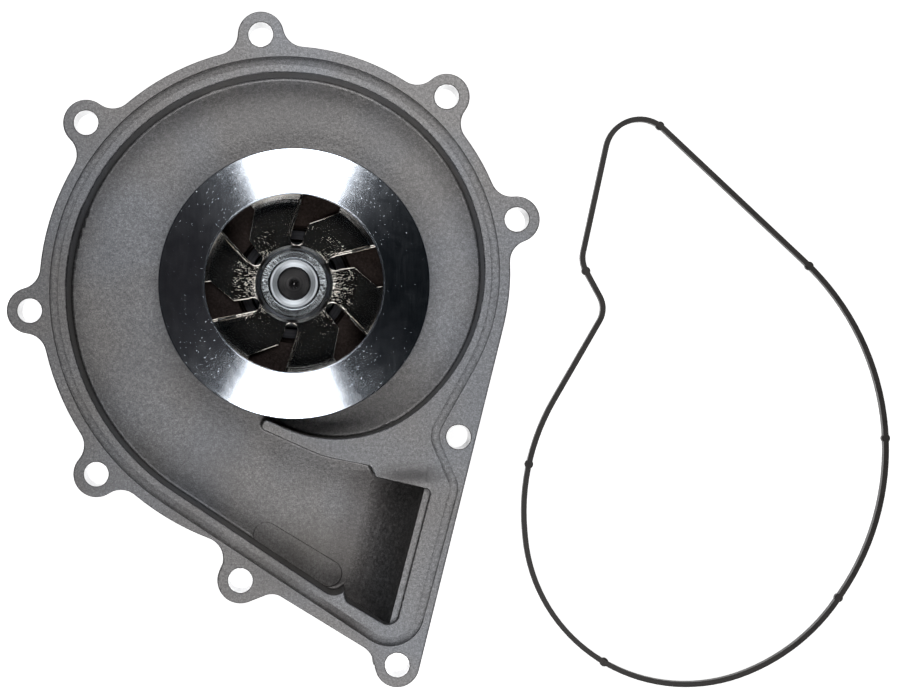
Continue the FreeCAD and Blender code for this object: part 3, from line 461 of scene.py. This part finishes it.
# Painted shade: the face seal case under the impeller disc is near-black steel so that it shows as
# shade through the windows.
SHADE_DARK_STEEL = turned_steel("shade_dark_steel", (0.050, 0.050, 0.055), (0.022, 0.022, 0.025), 0.34)
MOULDED_RUBBER = rubber("moulded_rubber", (0.010, 0.008, 0.007), (0.030, 0.024, 0.021), 0.36)
SEAL_RUBBER = rubber("seal_rubber", (0.012, 0.012, 0.012), (0.035, 0.035, 0.034), 0.42)
PULLEY_PAINT = satin_paint("pulley_paint", (0.014, 0.014, 0.015), (0.045, 0.045, 0.047))
VENT_PLASTIC = satin_paint("vent_plastic", (0.020, 0.020, 0.021), (0.05, 0.05, 0.052))
CAGE_PLASTIC = satin_paint("cage_plastic", (0.20, 0.12, 0.05), (0.32, 0.21, 0.10))
CERAMIC = ceramic("ring_ceramic", (0.55, 0.52, 0.46), (0.72, 0.70, 0.64), 0.25)
CARBON = ceramic("face_carbon", (0.018, 0.018, 0.02), (0.05, 0.05, 0.053), 0.35)

FINISHES = {
    "pump_housing": CAST,
    "housing_back": CAST,
    "outlet_ramp": CAST,
    "bearing_outer_ring": BEARING_STEEL,
    "bearing_snap_ring": SPRING_ZINC,
    "bearing_seal_front": SEAL_RUBBER,
    "bearing_seal_rear": SEAL_RUBBER,
    "face_seal_case": SHADE_DARK_STEEL,
    "face_seal_carbon": CARBON,
    "face_seal_retainer": CASE_STEEL,
    "face_seal_bellows": SEAL_RUBBER,
    "face_seal_spring": SPRING_ZINC,
    "weep_plug": VENT_PLASTIC,
    "pump_shaft": SHAFT_STEEL,
    "impeller_disc": DISC_ZINC,
    "impeller_shroud": SHROUD_ZINC,
    "impeller_hub": HUB_STEEL,
    "mating_ring": CERAMIC,
    "mating_ring_cup": SEAL_RUBBER,
    "slinger": SEAL_RUBBER,
    "pulley_hub": CASE_STEEL,
    "pulley_rim": PULLEY_PAINT,
    "pulley_web": PULLEY_PAINT,
    "pulley_bolts": BOLT_ZINC,
    "pulley_washers": BOLT_ZINC,
    "bearing_balls": BEARING_STEEL,
    "ball_cage": CAGE_PLASTIC,
    "bearing_rollers": BEARING_STEEL,
    "roller_cage": CAGE_PLASTIC,
    "flange_seal": MOULDED_RUBBER,
}
for name, node in nodes.items():
    for one in node.material_slots:
        one.material = FINISHES[name]

# The bellows and the spring, which shorten from their seat in the case as the seal face floats, get
# their own mesh copies here.
for name in ("face_seal_bellows", "face_seal_spring"):
    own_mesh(nodes[name])


# ------------------------------------------------------------ stage
def floor():
    """Pale, faintly glowing floor just under the lowest piece."""
    corners = [(-1, -1), (1, -1), (1, 1), (-1, 1)]
    mesh = bpy.data.meshes.new("studio_floor")
    mesh.from_pydata([(x * FLOOR_HALF, y * FLOOR_HALF, 0) for x, y in corners], [], [(0, 1, 2, 3)])
    made = bpy.data.objects.new("studio_floor", mesh)
    bpy.context.scene.collection.objects.link(made)
    made.location.z = cad_box[0].z - FLOOR_GAP
    s = Shader("pale_floor", Roughness=0.8, Emission_Strength=FLOOR_GLOW)
    s.bsdf.inputs["Base Color"].default_value = (0.82, 0.82, 0.82, 1.0)
    s.bsdf.inputs["Emission Color"].default_value = (1.0, 1.0, 1.0, 1.0)
    mesh.materials.append(s.mat)


def softbox(name, azimuth, elevation, distance, size, power, tint=(1.0, 1.0, 1.0)):
    """Area light aimed at the pump; azimuth is measured from +X."""
    data = bpy.data.lights.new(name, "AREA")
    data.shape = "RECTANGLE"
    data.size, data.size_y = size
    data.energy = power
    data.color = tint
    made = bpy.data.objects.new(name, data)
    bpy.context.scene.collection.objects.link(made)
    a = math.radians(azimuth)
    e = math.radians(elevation)
    away = Vector((math.cos(a) * math.cos(e), math.sin(a) * math.cos(e), math.sin(e)))
    made.location = away * distance
    made.rotation_mode = "QUATERNION"
    made.rotation_quaternion = away.to_track_quat("Z", "Y")


def lights():
    """Two softboxes, beyond the top and the bottom of the picture, and a dim warm wall to the left."""
    for name, azimuth in SOFTBOX_AZIMUTHS.items():
        softbox(name, azimuth, SOFTBOX_ELEVATION, SOFTBOX_DISTANCE, SOFTBOX_SIZE, SOFTBOX_POWER)
    softbox("left_wall", 180.0, 48.0, 1.3, (1.6, 1.0), 0.06, (1.0, 0.84, 0.84))
    world = bpy.data.worlds.new("studio")
    bpy.context.scene.world = world
    world.use_nodes = True
    night = world.node_tree.nodes["Background"]
    night.inputs["Color"].default_value = NIGHT_COLOUR
    night.inputs["Strength"].default_value = NIGHT_STRENGTH


def camera():
    """Long lens straight above the joint face, shifted so that the ring is in view too."""
    data = bpy.data.cameras.new("camera")
    data.sensor_fit = "HORIZONTAL"
    data.sensor_width = CAMERA_SENSOR
    data.lens = CAMERA_LENS
    data.shift_x, data.shift_y = CAMERA_SHIFT
    data.clip_start = 0.05
    data.clip_end = 20.0
    made = bpy.data.objects.new("camera", data)
    bpy.context.scene.collection.objects.link(made)
    made.location = CAMERA_PLACE
    bpy.context.scene.camera = made


floor()
lights()
camera()
bpy.context.scene.view_settings.view_transform = "Standard"
